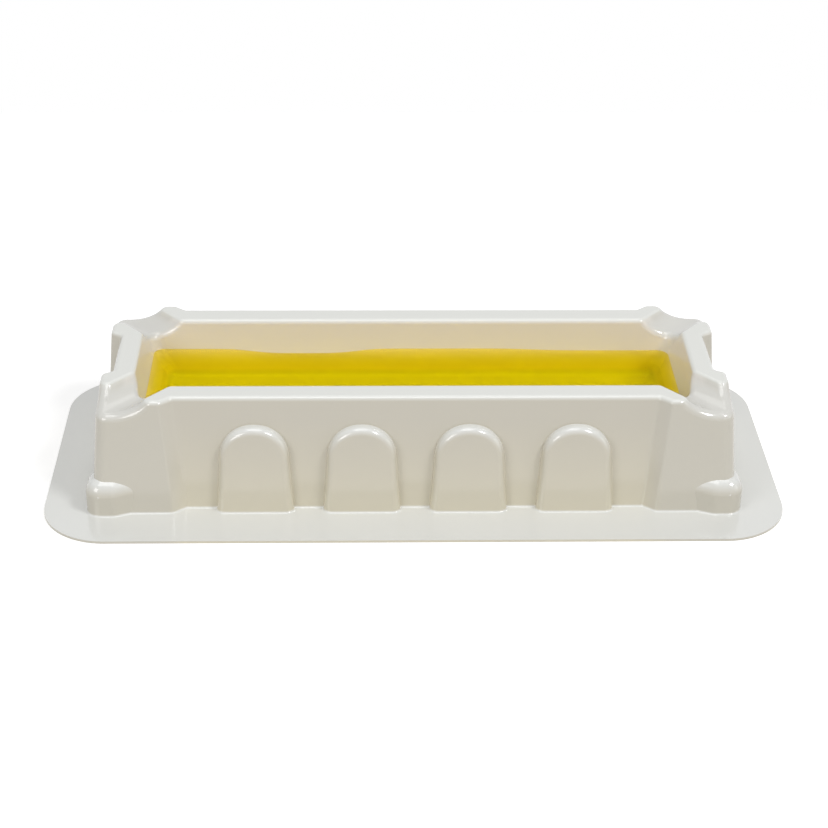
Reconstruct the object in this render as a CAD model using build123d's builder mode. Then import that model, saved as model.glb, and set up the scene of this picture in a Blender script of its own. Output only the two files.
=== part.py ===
from build123d import *
from math import cos, radians, sin, tan
import os

# A reagent reservoir for a twelve-channel pipette: one sheet of plastic, moulded
# into a raised trough with a double wall and a flat flange all round. It is open
# underneath. The liquid that stands in the trough is a piece of its own.
# Millimetres. X runs along the trough, Y across it and Z up. The origin is in the
# middle of the flange's underside, on the bench. Drafts and leans are in degrees.

sheet = 0.5                 # thickness of the moulded sheet
height = 25.2               # bench to rim

# Trough
floor_length = 103.8
floor_width = 24.1
floor_height = 9.0          # bench to the trough's floor
trough_end_draft = 16.2
trough_side_draft = 6.8
trough_soft = 2.6           # radius in its corners and round its floor
liquid_depth = 9.5

# Rim: its width between the trough and the outer wall, along the bays
rim_end = 4.3
rim_side = 5.3

# Outer wall: a drafted box with a block at each corner
end_draft = 4.8
side_draft = 4.1
side_block = 16.5           # length of a corner block along the long side
end_block = 15.8
block_corner = 2.5          # upright radius of the corner blocks

# Bays: the wall steps in between the corner blocks, by this much at the bench
side_bay_depth = 2.05
side_bay_draft = 3.6
side_step = 2.6             # run of the slanting step between bay and block
end_bay_depth = 2.2
end_step = 1.3
step_draft = 5.9

# Arches: stiffening pads along each long side
arch_count = 4
arch_pitch = 21.5
arch_foot = 15.6            # width at the bench
arch_height = 19.4          # bench to crest
arch_draft = 3.4            # how far the sides lean in
arch_round = 6.9            # radius of the round top
arch_root = 5.0             # how far the pad reaches back through the wall
arch_lean = 3.0
arch_soft = 1.5             # radius round the face

# Lugs: low bumps that wrap the foot of each corner block
lug_end_proud = 1.0         # how far a lug stands out from the foot of the end wall
lug_side_proud = 1.2
lug_face = 5.8              # length of its face along each wall from the corner
lug_tail = 6.0              # beyond that it slants back, and sinks into the wall
lug_sink = 2.4
lug_height = 7.9
lug_soft = 3.0              # radius on all its edges
lug_bevel = 0.7             # bevel that follows that radius inside, as a share of it

# Pouring spouts: round channels that run out over the four corners
spout_radius = 5.3
spout_depth = 3.0           # rim to the bottom of the channel
spout_turn = 48.0           # from the trough's length
spout_short = 1.4           # the channel meets the side of the mouth this short of its corner
spout_start = 6.2           # from there back into the trough
spout_run = 24.0
lip_soft = 1.6              # radius on the lips at both ends of a spout

# Flange that rests on the bench: how far it reaches from the foot of the wall
flange_end = 9.8
flange_side = 10.08
flange_corner = 13.3

# Edges
edge_soft = 1.0             # rim, spouts, lips and the upright edges of the bays
foot_soft = 0.5             # where the walls run out into the flange

# Lengths and widths that follow, from the trough outwards
depth = height - floor_height
mouth_length = floor_length + 2 * depth * tan(radians(trough_end_draft))
mouth_width = floor_width + 2 * depth * tan(radians(trough_side_draft))
base_length = mouth_length + 2 * (rim_end + end_bay_depth + height * tan(radians(end_draft)))
base_width = mouth_width + 2 * (rim_side + side_bay_depth + height * tan(radians(side_bay_draft)))
side_bay = base_length - 2 * side_block
end_bay = base_width - 2 * end_block
flange_length = base_length + 2 * flange_end
flange_width = base_width + 2 * flange_side


def outward(shape):
    """How far out from the middle a shape lies in plan, for grouping."""
    return round(abs(shape.center().X) + abs(shape.center().Y), 1)


def slanting(face):
    """True for a wall that is square to neither the long nor the short sides."""
    return round(face.normal_at().X * face.normal_at().Y, 1) != 0


def wall_block(inset):
    """The body as a solid: flat drafted walls, with the bays between corner blocks."""
    x, y = base_length / 2, base_width / 2
    quarter = [
        (side_bay / 2 - side_step, y - side_bay_depth),
        (side_bay / 2, y),
        (x, y),
        (x, end_bay / 2),
        (x - end_bay_depth, end_bay / 2 - end_step),
    ]
    right = quarter + [(px, -py) for px, py in reversed(quarter)]
    left = [(-px, -py) for px, py in right]
    with BuildPart() as block:
        with BuildSketch():
            with BuildLine():
                Polyline(*right, *left, close=True)
            make_face()
            if inset:
                offset(amount=-inset, kind=Kind.INTERSECTION)
        extrude(amount=height - inset)
        draft(block.faces().filter_by(Axis.X), Plane.XY, end_draft)
        draft(block.faces().filter_by(Axis.Y).group_by(outward)[0], Plane.XY, side_bay_draft)
        draft(block.faces().filter_by(Axis.Y), Plane.XY, side_draft)
        draft(block.faces().filter_by(slanting), Plane.XY, step_draft)
        upright = block.edges() - block.faces().filter_by(Axis.Z).edges()
        fillet(upright.group_by(outward)[-1], block_corner - inset)
    return block.part


def arch_pad(inset):
    """One arch, on the front wall at the middle of the body."""
    lean = radians(arch_lean)
    face = Plane(
        origin=(0, inset - base_width / 2, 0),
        x_dir=(1, 0, 0),
        z_dir=(0, -cos(lean), sin(lean)),
    )
    with BuildPart() as pad:
        with BuildSketch(face) as front:
            Trapezoid(
                arch_foot - 2 * inset,
                arch_height - inset,
                90 - arch_draft,
                align=(Align.CENTER, Align.MIN),
            )
            fillet(front.vertices().group_by(Axis.Y)[-1], arch_round - inset)
        extrude(amount=-arch_root)
        outline = pad.faces().sort_by(Axis.Y)[0].edges().sort_by(Axis.Z)[1:]
        if inset:
            chamfer(outline, arch_soft - inset)
        else:
            fillet(outline, arch_soft)
        split(bisect_by=Plane.XY, keep=Keep.TOP)
    return pad.part


def lug_block(inset):
    """The lug at the corner on +X and +Y, with a tail along each wall."""
    x, y = base_length / 2 + lug_end_proud, base_width / 2 + lug_side_proud
    reach = lug_face + lug_tail
    with BuildPart() as lug:
        with BuildSketch():
            with BuildLine():
                Polyline(
                    (x - reach, y - lug_sink),
                    (x - lug_face, y),
                    (x, y),
                    (x, y - lug_face),
                    (x - lug_sink, y - reach),
                    close=True,
                )
            make_face()
            if inset:
                offset(amount=-inset, kind=Kind.INTERSECTION)
        extrude(amount=lug_height - inset)
        foot = lug.faces().sort_by(Axis.Z)[0]
        buried = lug.faces().sort_by(lambda f: f.center().X + f.center().Y)[0]
        seen = lug.edges() - foot.edges() - buried.edges()
        if inset:
            chamfer(seen, lug_bevel * (lug_soft - inset))
        else:
            fillet(seen, lug_soft)
    return lug.part


def cavity(top, grow=0):
    """The trough's hollow from its floor up to the given level, swollen by grow."""
    with BuildPart() as hollow:
        with BuildSketch(Plane.XY.offset(floor_height - grow)):
            Rectangle(floor_length + 2 * grow, floor_width + 2 * grow)
        extrude(amount=top - floor_height + grow)
        level = Plane.XY.offset(floor_height)
        draft(hollow.faces().filter_by(Axis.X), level, -trough_end_draft)
        draft(hollow.faces().filter_by(Axis.Y), level, -trough_side_draft)
        fillet(hollow.edges() - hollow.faces().sort_by(Axis.Z)[-1].edges(), trough_soft + grow)
    return hollow.part


def moulded_form(inset):
    """The whole moulding as a solid lump, with every surface set back by inset."""
    turn = radians(spout_turn)
    with BuildPart() as form:
        add(wall_block(inset))
        with GridLocations(arch_pitch, 0, arch_count, 1):
            add(arch_pad(inset))
        add(lug_block(inset))
        mirror(about=Plane.YZ)
        mirror(about=Plane.XZ)
        add(cavity(height + sheet, inset), mode=Mode.SUBTRACT)
        for x_side in (1, -1):
            for y_side in (1, -1):
                axis = Plane(
                    origin=(
                        x_side * (mouth_length / 2 - spout_short),
                        y_side * mouth_width / 2,
                        height - spout_depth + spout_radius,
                    ),
                    z_dir=(x_side * cos(turn), y_side * sin(turn), 0),
                )
                with BuildSketch(axis.offset(-spout_start)):
                    Circle(spout_radius + inset)
                extrude(amount=spout_run, mode=Mode.SUBTRACT)
        round_faces = form.faces().filter_by(GeomType.CYLINDER)
        spouts = round_faces.filter_by(lambda f: f.radius == spout_radius + inset)
        fillet(spouts.edges().filter_by(GeomType.LINE, reverse=True), lip_soft - inset)
    return form.part


with BuildPart() as reservoir:
    add(moulded_form(0))
    rim = reservoir.faces().filter_by(Axis.Z).group_by(Axis.Z)[-1]
    bay_edges = reservoir.edges().filter_by(lambda e: e.bounding_box().size.Z > height - sheet)
    fillet(set(rim.edges() + bay_edges), edge_soft)
    with BuildSketch():
        RectangleRounded(flange_length, flange_width, flange_corner)
    extrude(amount=sheet)
    flange_top = reservoir.faces().filter_by(Axis.Z).filter_by_position(Axis.Z, sheet, sheet)
    fillet(flange_top.sort_by(SortBy.AREA)[-1].inner_wires().edges(), foot_soft)
    add(moulded_form(sheet), mode=Mode.SUBTRACT)

with BuildPart() as reagent:
    add(cavity(floor_height + liquid_depth))

os.makedirs("parts", exist_ok=True)
reservoir.part.label = "reservoir"
reagent.part.label = "reagent"
export_step(reservoir.part, "parts/reservoir.step")
export_step(reagent.part, "parts/reagent.step")
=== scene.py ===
import bmesh
import bpy
from math import cos, exp, radians, sin
from mathutils import Matrix, Vector


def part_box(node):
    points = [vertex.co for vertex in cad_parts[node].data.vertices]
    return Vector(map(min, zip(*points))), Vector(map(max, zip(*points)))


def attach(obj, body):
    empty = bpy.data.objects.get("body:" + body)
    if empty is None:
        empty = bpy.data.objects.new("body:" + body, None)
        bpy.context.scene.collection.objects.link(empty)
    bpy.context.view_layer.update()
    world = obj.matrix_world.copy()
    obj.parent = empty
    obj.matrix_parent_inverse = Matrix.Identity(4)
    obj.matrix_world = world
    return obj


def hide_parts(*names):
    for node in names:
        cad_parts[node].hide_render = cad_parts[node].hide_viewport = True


# A moulded white reagent reservoir with yellow reagent standing in its trough.
# Metres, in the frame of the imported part: X along the trough, Z up from the bench.

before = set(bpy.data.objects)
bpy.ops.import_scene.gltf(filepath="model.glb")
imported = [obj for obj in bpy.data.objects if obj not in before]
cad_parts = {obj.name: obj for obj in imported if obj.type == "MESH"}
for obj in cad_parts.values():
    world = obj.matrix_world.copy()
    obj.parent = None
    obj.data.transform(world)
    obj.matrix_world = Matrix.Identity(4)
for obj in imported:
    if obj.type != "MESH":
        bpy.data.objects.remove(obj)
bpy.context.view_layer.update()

MM = 0.001
WATER_IOR = 1.33
SAME_PLACE = 0.001 * MM         # points closer than this are one point


def add_object(name, shape):
    """Puts a finished bmesh into the scene as an object, and frees it."""
    mesh = bpy.data.meshes.new(name)
    shape.to_mesh(mesh)
    shape.free()
    made = bpy.data.objects.new(name, mesh)
    bpy.context.scene.collection.objects.link(made)
    return made


# ---------------------------------------------------------------- materials

def linear(hex_colour):
    """An sRGB hex colour as the linear RGBA that shader sockets take."""
    channels = [int(hex_colour[i:i + 2], 16) / 255 for i in (0, 2, 4)]
    return [c / 12.92 if c <= 0.04045 else ((c + 0.055) / 1.055) ** 2.4 for c in channels] + [1.0]


def node(material, kind, settings=None, **links):
    """Adds one shader node. settings fills properties and sockets, links joins sockets."""
    made = material.node_tree.nodes.new(kind)
    for name, value in (settings or {}).items():
        if isinstance(name, str) and hasattr(made, name):
            setattr(made, name, value)
        else:
            made.inputs[name].default_value = value
    for name, source in links.items():
        key = int(name[1:]) if name[1:].isdigit() else name.replace("_", " ")
        material.node_tree.links.new(source, made.inputs[key])
    return made


def blank(name):
    """A material with node shading and nothing in it yet."""
    material = bpy.data.materials.new(name)
    material.use_nodes = True
    material.node_tree.nodes.clear()
    return material


def thermoformed_polystyrene():
    """High-impact polystyrene sheet, vacuum formed: a glossy skin with a faint waviness from the hot
    sheet. Faces that look up are painted whiter, a painted sheen and highlight. The trough's inside is
    painted paler as painted light, and its floor under the liquid is painted in shade. The outer walls
    are lighter and creamier towards the foot of the bays."""
    material = blank("thermoformed_polystyrene")

    # Where a spot lies on the tray, and which way it faces
    place = node(material, "ShaderNodeTexCoord")
    spot = node(material, "ShaderNodeSeparateXYZ", _0=place.outputs["Object"])
    normal = node(material, "ShaderNodeNewGeometry")
    facing = node(material, "ShaderNodeSeparateXYZ", _0=normal.outputs["Normal"])
    along = node(material, "ShaderNodeMath", {"operation": "ABSOLUTE"}, _0=spot.outputs["X"])
    across = node(material, "ShaderNodeMath", {"operation": "ABSOLUTE"}, _0=spot.outputs["Y"])

    # Outer walls: lighter and creamier towards the foot of the bays, greyer on the corner blocks
    rise = node(
        material, "ShaderNodeMapRange", {"From Min": 2 * MM, "From Max": 20 * MM},
        Value=spot.outputs["Z"],
    )
    bays = node(
        material, "ShaderNodeMix",
        {"data_type": "RGBA", 6: linear("D9D2BD"), 7: linear("CFC9BA")},
        _0=rise.outputs["Result"],
    )
    block = node(
        material, "ShaderNodeMapRange", {"From Min": 46 * MM, "From Max": 50 * MM},
        Value=along.outputs[0],
    )
    outer = node(
        material, "ShaderNodeMix",
        {"data_type": "RGBA", 7: linear("D0CBBD")},
        _0=block.outputs["Result"], _6=bays.outputs[2],
    )

    # Walls of the trough: painted light, a paler, warm white everywhere inside the middle of the rim,
    # standing in for the light that falls into the trough and comes back off the liquid. The trough is
    # longer than wide by a fixed amount, which comes off first.
    longer = 42.5 * MM
    beyond = node(
        material, "ShaderNodeMath", {"operation": "SUBTRACT", 1: longer}, _0=along.outputs[0],
    )
    out = node(
        material, "ShaderNodeMath", {"operation": "MAXIMUM"},
        _0=beyond.outputs[0], _1=across.outputs[0],
    )
    inside = node(
        material, "ShaderNodeMapRange",
        {"From Min": 15.5 * MM, "From Max": 16.5 * MM, "To Min": 1.0, "To Max": 0.0},
        Value=out.outputs[0],
    )
    walls_painted_paler_inside = node(
        material, "ShaderNodeMix",
        {"data_type": "RGBA", 7: linear("EFE7DE")},
        _0=inside.outputs["Result"], _6=outer.outputs[2],
    )

    # Level faces, in painted light and shade: painted white on the flange and lugs, duller in the
    # spouts as painted shade, whitest on the rim as a painted highlight, and grey-green on the
    # trough's floor under the liquid as painted shade
    spouts = node(
        material, "ShaderNodeMapRange", {"From Min": 20 * MM, "From Max": 22 * MM},
        Value=spot.outputs["Z"],
    )
    tops_with_painted_sheen_and_shade = node(
        material, "ShaderNodeMix",
        {"data_type": "RGBA", 6: linear("E4E5E2"), 7: linear("D9D8D2")},
        _0=spouts.outputs["Result"],
    )
    rim = node(
        material, "ShaderNodeMapRange", {"From Min": 24.2 * MM, "From Max": 25.0 * MM},
        Value=spot.outputs["Z"],
    )
    rim_painted_highlight = node(
        material, "ShaderNodeMix",
        {"data_type": "RGBA", 7: linear("E8E9E4")},
        _0=rim.outputs["Result"], _6=tops_with_painted_sheen_and_shade.outputs[2],
    )
    # Painted shade: the trough's floor under the liquid is painted a darker grey-green.
    sunk = node(
        material, "ShaderNodeMath", {"operation": "LESS_THAN", 1: 13 * MM}, _0=spot.outputs["Z"],
    )
    floor = node(
        material, "ShaderNodeMath", {"operation": "MULTIPLY"},
        _0=sunk.outputs[0], _1=inside.outputs["Result"],
    )
    level = node(
        material, "ShaderNodeMix",
        {"data_type": "RGBA", 7: linear("C8CBC0")},
        _0=floor.outputs[0], _6=rim_painted_highlight.outputs[2],
    )

    # From wall to level face the one colour runs into the other over the rounded edges. Faces that
    # look up, rounded crests among them, are so painted whiter: a painted sheen and highlight.
    faces_up_painted_whiter = node(
        material, "ShaderNodeMapRange", {"From Min": 0.15, "From Max": 0.8},
        Value=facing.outputs["Z"],
    )
    colour = node(
        material, "ShaderNodeMix",
        {"data_type": "RGBA"},
        _0=faces_up_painted_whiter.outputs["Result"], _6=walls_painted_paler_inside.outputs[2], _7=level.outputs[2],
    )

    # Waves about 9 mm long and 0.02 mm deep
    ripples = node(
        material, "ShaderNodeTexNoise",
        {"Scale": 1 / (9 * MM), "Detail": 1.0, "Roughness": 0.4},
        Vector=place.outputs["Object"],
    )
    bump = node(
        material, "ShaderNodeBump",
        {"Strength": 1.0, "Distance": 0.02 * MM},
        Height=ripples.outputs["Fac"],
    )
    skin = node(
        material, "ShaderNodeBsdfPrincipled",
        {"IOR": 1.59, "Roughness": 0.14, "Specular IOR Level": 0.75},
        Base_Color=colour.outputs[2], Normal=bump.outputs["Normal"],
    )
    node(material, "ShaderNodeOutputMaterial", Surface=skin.outputs["BSDF"])
    return material


def yellow_reagent():
    """A clear yellow dye in water, poured: mirror smooth, so the trough shows through it and the
    surroundings glint on it, and it takes blue out of the light, the more so the deeper it is."""
    tint = linear("F3E8A8")
    material = blank("yellow_reagent")
    clear = node(
        material, "ShaderNodeBsdfRefraction",
        {"Color": tint, "Roughness": 0.0, "IOR": WATER_IOR},
    )
    # The open surface mirrors white surroundings, toned down here and tinted, because in full they
    # would wash out the yellow at a low angle.
    sheen = node(
        material, "ShaderNodeBsdfAnisotropic",
        {"Color": linear("BCAE38"), "Roughness": 0.02},
    )
    bounce = node(material, "ShaderNodeFresnel", {"IOR": WATER_IOR})
    water = node(
        material, "ShaderNodeMixShader",
        _0=bounce.outputs["Fac"], _1=clear.outputs["BSDF"], _2=sheen.outputs["BSDF"],
    )
    # Lamps reach the trough's floor straight through the surface.
    through = node(material, "ShaderNodeBsdfTransparent", {"Color": tint})
    ray = node(material, "ShaderNodeLightPath")
    surface = node(
        material, "ShaderNodeMixShader",
        _0=ray.outputs["Is Shadow Ray"], _1=water.outputs["Shader"], _2=through.outputs["BSDF"],
    )
    dye = node(
        material, "ShaderNodeVolumeAbsorption",
        {"Color": linear("FFFE00"), "Density": 240.0},
    )
    node(
        material, "ShaderNodeOutputMaterial",
        Surface=surface.outputs["Shader"], Volume=dye.outputs["Volume"],
    )
    return material


def looked_at(material):
    """1 where the eye sees this surface, straight, mirrored or through the liquid, and 0 where
    the surface only sends light on."""
    ray = node(material, "ShaderNodeLightPath")
    seen = node(
        material, "ShaderNodeMath", {"operation": "MAXIMUM"},
        _0=ray.outputs["Is Camera Ray"], _1=ray.outputs["Is Glossy Ray"],
    )
    seen_at_all = node(
        material, "ShaderNodeMath", {"operation": "MAXIMUM"},
        _0=seen.outputs[0], _1=ray.outputs["Is Transmission Ray"],
    )
    return seen_at_all.outputs[0]


def pale_bench():
    """A plain matt bench, painted light grey. To the eye it is lifted to white and keeps a faint
    shadow of what stands on it, while the light that it throws up stays plain."""
    material = blank("pale_bench")
    matt = node(material, "ShaderNodeBsdfDiffuse", {"Color": linear("E8E8E8")})
    pale = node(material, "ShaderNodeBsdfDiffuse", {"Color": linear("FFFFFF")})
    glow = node(material, "ShaderNodeEmission", {"Color": linear("FFFFFF"), "Strength": 0.3})
    shown = node(material, "ShaderNodeAddShader", _0=pale.outputs["BSDF"], _1=glow.outputs["Emission"])
    both = node(
        material, "ShaderNodeMixShader",
        _0=looked_at(material), _1=matt.outputs["BSDF"], _2=shown.outputs["Shader"],
    )
    node(material, "ShaderNodeOutputMaterial", Surface=both.outputs["Shader"])
    return material


# ---------------------------------------------------------------- the liquid

def reagent_pool():
    """The reagent: the CAD solid's form, swollen a hair into the wall so that no air shows
    between them, with a meniscus that climbs the wall, less where the wall stayed dry."""
    swell = 0.15 * MM
    sink = 0.7 * MM             # the open surface lies this far under the CAD level
    climb = 1.1 * MM            # and the liquid climbs the wall by this much
    reach = 1.0 * MM            # how fast the climb dies away from the wall
    corner = 2.8 * MM           # radius of the pool's corners in plan
    dry_spots = (               # where along the trough, how far to each side, how dry
        (-23 * MM, 12 * MM, 1.0),
        (43 * MM, 19 * MM, 0.45),
    )
    sliver = 0.01 * MM          # nothing thinner than this is left by the cuts
    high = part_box("reagent")[1]
    level, half_length, half_width = high.z, high.x + swell, high.y + swell
    shape = bmesh.new()
    shape.from_mesh(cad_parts["reagent"].data)
    bmesh.ops.remove_doubles(shape, verts=shape.verts, dist=SAME_PLACE)
    bmesh.ops.dissolve_limit(
        shape, angle_limit=radians(0.5), verts=shape.verts, edges=shape.edges,
    )
    shape.normal_update()
    for vert in shape.verts:
        push = vert.normal.copy()
        if level - vert.co.z < SAME_PLACE:
            push.z = 0
            push.normalize()
        vert.co += push * swell
    # The surface is cut into strips so that it can bend: close together near the walls, then
    # every 2 mm along the pool and 4 mm across it.
    near = [step * MM for step in (0.15, 0.35, 0.6, 0.95, 1.4, 2.0, 2.8)]
    cuts = [(half_length - step, 0) for step in near] + [(0, half_width - step) for step in near]
    cuts += [(step * 2 * MM, 0) for step in range(26)] + [(0, step * 4 * MM) for step in range(3)]
    for x, y in cuts:
        for side in (1, -1):
            bmesh.ops.bisect_plane(
                shape, geom=shape.verts[:] + shape.edges[:] + shape.faces[:], dist=sliver,
                plane_co=(side * x, side * y, 0), plane_no=(float(x > 0 or y == 0), float(y > 0), 0),
            )
    bmesh.ops.remove_doubles(shape, verts=shape.verts, dist=sliver)
    bmesh.ops.dissolve_degenerate(shape, dist=sliver, edges=shape.edges)
    top = [f for f in shape.faces if all(level - v.co.z < SAME_PLACE for v in f.verts)]
    wetted = {v for f in top for v in f.verts}
    for vert in wetted:
        over_x = abs(vert.co.x) - half_length + corner
        over_y = abs(vert.co.y) - half_width + corner
        beyond = Vector((max(over_x, 0), max(over_y, 0))).length + min(max(over_x, over_y), 0)
        dry = sum(share * exp(-(((vert.co.x - at) / half) ** 4)) for at, half, share in dry_spots)
        vert.co.z += climb * (1 - dry) * exp((beyond - corner) / reach) - sink
    for face in top:
        face.smooth = True
        for edge in face.edges:
            edge.smooth = all(f in top for f in edge.link_faces)
    return add_object("reagent_pool", shape)


# ---------------------------------------------------------------- stage

def bench():
    """The plain floor under the part, wide enough for its shadow. White surroundings go on
    from its edge."""
    half_side, gap = 200 * MM, 0.05 * MM
    shape = bmesh.new()
    bmesh.ops.create_grid(shape, x_segments=1, y_segments=1, size=half_side)
    bmesh.ops.translate(shape, verts=shape.verts, vec=(0, 0, -gap))
    floor = add_object("bench", shape)
    floor.data.materials.append(pale_bench())


def soft_box(name, place, size, watts):
    """A square area lamp with soft shadows, aimed at the middle of the part."""
    lamp = bpy.data.lights.new(name, "AREA")
    lamp.shape = "SQUARE"
    lamp.size = size
    lamp.energy = watts
    made = bpy.data.objects.new(name, lamp)
    bpy.context.scene.collection.objects.link(made)
    made.location = place
    made.rotation_euler = Vector(place).to_track_quat("Z", "Y").to_euler()


def studio_light():
    """White surroundings, plain ambient light, a soft key from the front on the right, and
    weaker lamps above, on both sides and behind."""
    world = bpy.data.worlds.new("studio")
    bpy.context.scene.world = world
    world.use_nodes = True
    world.node_tree.nodes.clear()
    ambient = node(world, "ShaderNodeBackground", {"Color": linear("FFFFFF"), "Strength": 0.3})
    white = node(world, "ShaderNodeBackground", {"Color": linear("FFFFFF"), "Strength": 1.0})
    both = node(
        world, "ShaderNodeMixShader",
        _0=looked_at(world), _1=ambient.outputs[0], _2=white.outputs[0],
    )
    node(world, "ShaderNodeOutputWorld", Surface=both.outputs[0])
    for name, place, size, watts in (
        ("key", (0.44, -0.36, 0.66), 0.2, 2.35),
        ("top", (-0.05, -0.15, 0.85), 0.5, 1.6),
        ("fill", (-0.35, -0.40, 0.27), 0.25, 0.70),
        ("side", (0.9, -0.3, 0.2), 0.4, 0.5),
        ("back", (0.0, 0.45, 0.75), 0.4, 0.4),
    ):
        soft_box(name, place, size, watts)


def camera():
    """A long lens from the front, 30 degrees up, almost square on and level."""
    elevation, azimuth, roll = radians(30.0), radians(1.738), radians(0.717)
    data = bpy.data.cameras.new("camera")
    data.lens = 84.41
    data.sensor_width = 36.0
    data.clip_start = 0.01
    made = bpy.data.objects.new("camera", data)
    bpy.context.scene.collection.objects.link(made)
    turn = Matrix.Rotation(-azimuth, 3, "Z")
    right = turn @ Vector((1, 0, 0))
    up = turn @ Vector((0, sin(elevation), cos(elevation)))
    back = turn @ Vector((0, -cos(elevation), sin(elevation)))
    across = cos(roll) * right + sin(roll) * up
    upright = cos(roll) * up - sin(roll) * right
    made.matrix_world = Matrix.Translation((-10.527 * MM, -352.71 * MM, 213.99 * MM)) @ Matrix(
        (across, upright, back)
    ).transposed().to_4x4()
    bpy.context.scene.camera = made


# ---------------------------------------------------------------- putting it together

camera()
studio_light()
bench()

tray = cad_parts["reservoir"]
tray.data.materials.clear()
tray.data.materials.append(thermoformed_polystyrene())

pool = reagent_pool()
pool.data.materials.append(yellow_reagent())
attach(pool, "root")
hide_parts("reagent")

bpy.context.scene.view_settings.view_transform = "Standard"
